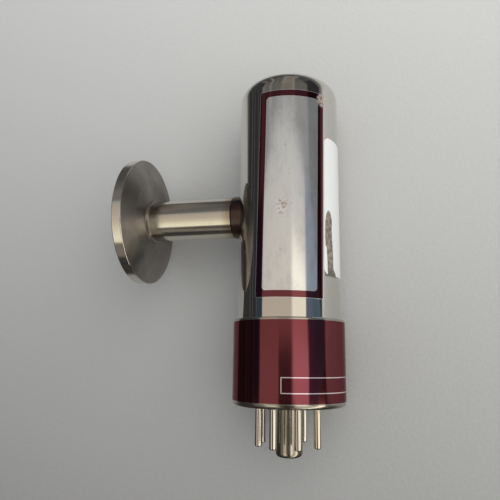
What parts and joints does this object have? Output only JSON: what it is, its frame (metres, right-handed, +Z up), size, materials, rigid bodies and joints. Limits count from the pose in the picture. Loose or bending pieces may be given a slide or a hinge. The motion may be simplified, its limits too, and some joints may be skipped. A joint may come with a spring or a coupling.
{
  "type": "vacuum gauge",
  "caption": "Heated-filament vacuum gauge tube: polished domed can with a side port on a clamp flange and a keyed plug base with contact pins.",
  "frame": {"origin": "centre of the port's sealing face, on the port's axis", "axes": "+X in along the port to the can's axis, +Y along the can to its domed end, +Z up out of the face label; stored lying on its side, which the gauge takes up within about 5 degrees when it is laid on a table"},
  "size_m": [0.0648, 0.1122, 0.04],
  "materials": {
    "polished_can": "mirror polished stainless steel",
    "turned_steel": "turned and wiped bright",
    "port_steel": "drawn tube, polished along its length",
    "shell_steel": "spun and polished",
    "braze": "dark oxidised braze",
    "weld": "bare weld",
    "silver_film": "metallised film with a dark red printed border",
    "red_film": "glossy metallic dark red film",
    "white_paper": "coated white paper",
    "wafer_plastic": "moulded dark brown",
    "nickel": "nickel plated",
    "solder": "bright solder",
    "cement": "hardened cement",
    "seal_glass": "sealing glass",
    "lead_alloy": "drawn wire",
    "ceramic": "unglazed",
    "gold_wire": "gold plated wire",
    "spring_metal": "spring strip"
  },
  "bodies": {
    "root": {"base_cement": "cement", "base_label": "red_film", "base_shell": "shell_steel", "base_wafer": "wafer_plastic", "can": "polished_can", "compensator_bobbin": "ceramic", "compensator_leads": "lead_alloy", "compensator_winding": "gold_wire", "contact_pin_1": "nickel", "contact_pin_2": "nickel", "contact_pin_3": "nickel", "contact_pin_4": "nickel", "contact_pin_5": "nickel", "contact_pin_7": "nickel", "contact_pin_8": "nickel", "face_label": "silver_film", "filament_crimps": "nickel", "flange_weld": "weld", "glass_seals": "seal_glass", "guide_post": "nickel", "header_plate": "turned_steel", "header_weld": "weld", "pin_solder": "solder", "port_collar": "braze", "port_flange": "turned_steel", "port_tube": "port_steel", "sensor_filament": "gold_wire", "sensor_post_long": "lead_alloy", "sensor_post_short": "lead_alloy", "serial_sticker": "white_paper", "support_rod": "lead_alloy", "tension_spring": "spring_metal", "upper_spacer": "ceramic"}
  },
  "joints": []
}
